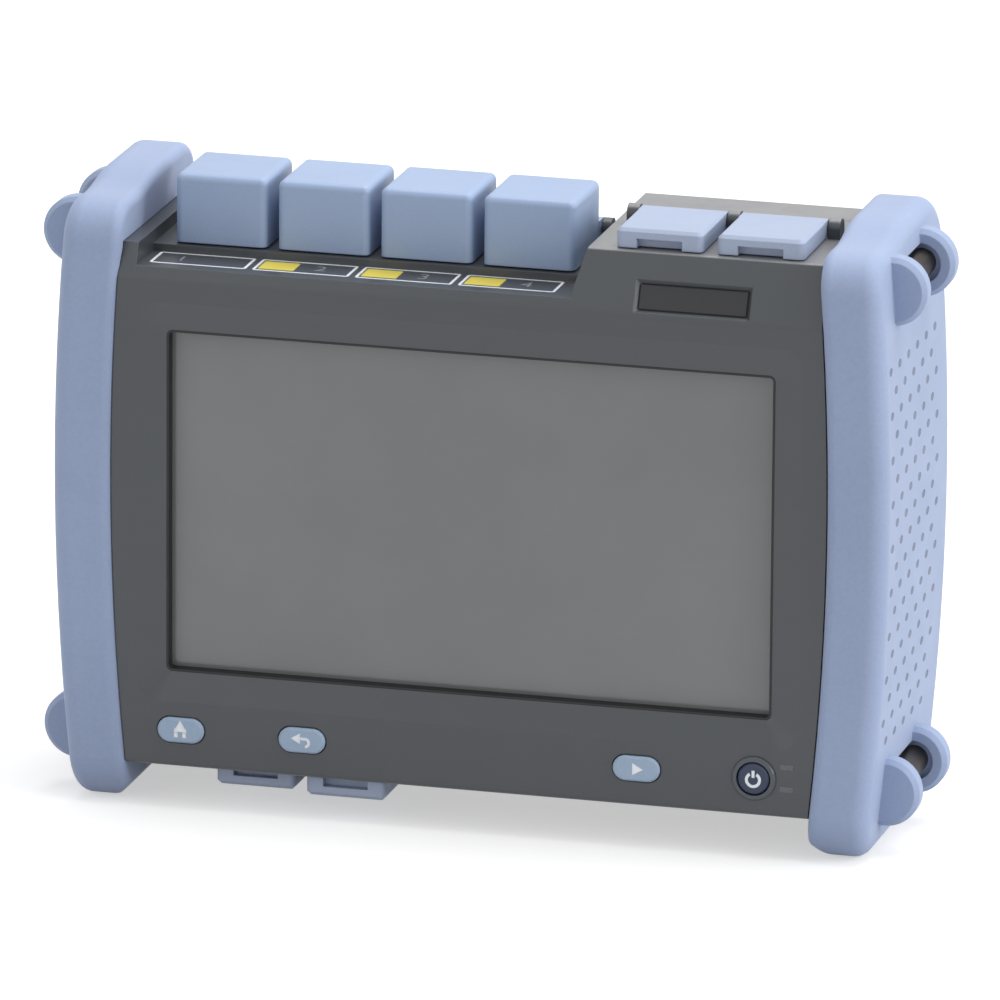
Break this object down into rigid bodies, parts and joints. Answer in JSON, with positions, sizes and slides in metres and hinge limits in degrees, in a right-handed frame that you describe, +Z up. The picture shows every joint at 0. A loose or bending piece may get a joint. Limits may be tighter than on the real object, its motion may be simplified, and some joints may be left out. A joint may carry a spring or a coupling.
{
  "type": "optical time domain reflectometer",
  "caption": "Handheld fibre tester with a wide display, keys, rubber side guards with strap pins, hinged dust caps over optical ports, hinged socket covers and a rear stand.",
  "frame": {"origin": "middle of the width and depth, on the surface that the two rubber guards stand on", "axes": "+X to the user's right, +Y away from the user through the instrument, +Z up"},
  "size_m": [0.2296, 0.07, 0.1616],
  "materials": {
    "housing": "satin",
    "guard": "matte",
    "cap": "satin",
    "cover": "satin",
    "key": "matte",
    "power_key": "matte",
    "collar": "gloss",
    "gasket": "matte",
    "glass": "gloss",
    "panel": "matte",
    "lug_pin": "brushed",
    "steel": "brushed",
    "port_metal": "satin",
    "socket": "matte",
    "circuit_board": "satin",
    "switch": "matte",
    "light_guide": "gloss",
    "badge": "satin",
    "chassis": "satin",
    "module_can": "satin",
    "battery": "matte",
    "rear_plastic": "satin"
  },
  "bodies": {
    "instrument": {"front_housing": "housing", "rear_housing": "housing", "guard_left": "guard", "guard_right": "guard", "strap_pins": "lug_pin", "display_gasket": "gasket", "touch_glass": "glass", "display_panel": "panel", "cap_rod": "steel", "power_meter_port": "port_metal", "fibre_adapter_1": "port_metal", "fibre_adapter_2": "port_metal", "fibre_adapter_3": "port_metal", "cover_pins": "steel", "network_socket": "socket", "usb_socket": "socket", "power_socket": "socket", "service_socket": "socket", "top_port_board": "circuit_board", "low_port_board": "circuit_board", "power_collar": "collar", "key_board": "circuit_board", "key_switches": "switch", "light_guides": "light_guide", "badge_plate": "badge", "chassis_plate": "chassis", "board_standoffs": "steel", "main_board": "circuit_board", "measuring_module": "module_can", "chassis_screws": "steel", "board_screws": "steel", "battery_pack": "battery", "battery_lid": "rear_plastic", "lid_screws": "steel", "stand_pins": "steel", "housing_screws": "steel"},
    "cap_1": {"dust_cap_1": "cap"},
    "cap_2": {"dust_cap_2": "cap"},
    "cap_3": {"dust_cap_3": "cap"},
    "cap_4": {"dust_cap_4": "cap"},
    "top_cover_left": {"top_cover_left": "cover"},
    "top_cover_right": {"top_cover_right": "cover"},
    "low_cover_left": {"low_cover_left": "cover"},
    "low_cover_right": {"low_cover_right": "cover"},
    "home_key": {"home_key": "key"},
    "back_key": {"back_key": "key"},
    "auto_key": {"auto_key": "key"},
    "power_key": {"power_key": "power_key"},
    "stand": {"stand": "rear_plastic"}
  },
  "joints": [
    {"name": "cap_1_hinge", "type": "hinge", "parent": "instrument", "child": "cap_1", "pos_m": [-0.0695, 0.0127, 0.1483], "axis": [-1, 0, 0], "range_deg": [0, 110]},
    {"name": "cap_2_hinge", "type": "hinge", "parent": "instrument", "child": "cap_2", "pos_m": [-0.0427, 0.0127, 0.1483], "axis": [-1, 0, 0], "range_deg": [0, 110]},
    {"name": "cap_3_hinge", "type": "hinge", "parent": "instrument", "child": "cap_3", "pos_m": [-0.0159, 0.0127, 0.1483], "axis": [-1, 0, 0], "range_deg": [0, 110]},
    {"name": "cap_4_hinge", "type": "hinge", "parent": "instrument", "child": "cap_4", "pos_m": [0.0109, 0.0127, 0.1483], "axis": [-1, 0, 0], "range_deg": [0, 110]},
    {"name": "top_cover_left_hinge", "type": "hinge", "parent": "instrument", "child": "top_cover_left", "pos_m": [0.0472, 0.0005, 0.1559], "axis": [-1, 0, 0], "range_deg": [0, 110]},
    {"name": "top_cover_right_hinge", "type": "hinge", "parent": "instrument", "child": "top_cover_right", "pos_m": [0.0732, 0.0005, 0.1559], "axis": [-1, 0, 0], "range_deg": [0, 110]},
    {"name": "low_cover_left_hinge", "type": "hinge", "parent": "instrument", "child": "low_cover_left", "pos_m": [-0.0564, -0.002, 0.0086], "axis": [1, 0, 0], "range_deg": [0, 100]},
    {"name": "low_cover_right_hinge", "type": "hinge", "parent": "instrument", "child": "low_cover_right", "pos_m": [-0.0319, -0.005, 0.0086], "axis": [1, 0, 0], "range_deg": [0, 100]},
    {"name": "home_key_press", "type": "slide", "parent": "instrument", "child": "home_key", "axis": [0, 1, 0], "range_m": [0, 0.001], "stiffness_N_per_m": 1000, "springref_m": -0.0003},
    {"name": "back_key_press", "type": "slide", "parent": "instrument", "child": "back_key", "axis": [0, 1, 0], "range_m": [0, 0.001], "stiffness_N_per_m": 1000, "springref_m": -0.0003},
    {"name": "auto_key_press", "type": "slide", "parent": "instrument", "child": "auto_key", "axis": [0, 1, 0], "range_m": [0, 0.001], "stiffness_N_per_m": 1000, "springref_m": -0.0003},
    {"name": "power_key_press", "type": "slide", "parent": "instrument", "child": "power_key", "axis": [0, 1, 0], "range_m": [0, 0.001], "stiffness_N_per_m": 1000, "springref_m": -0.0003},
    {"name": "stand_hinge", "type": "hinge", "parent": "instrument", "child": "stand", "pos_m": [0, 0.0311, 0.108], "axis": [1, 0, 0], "range_deg": [0, 40]}
  ]
}
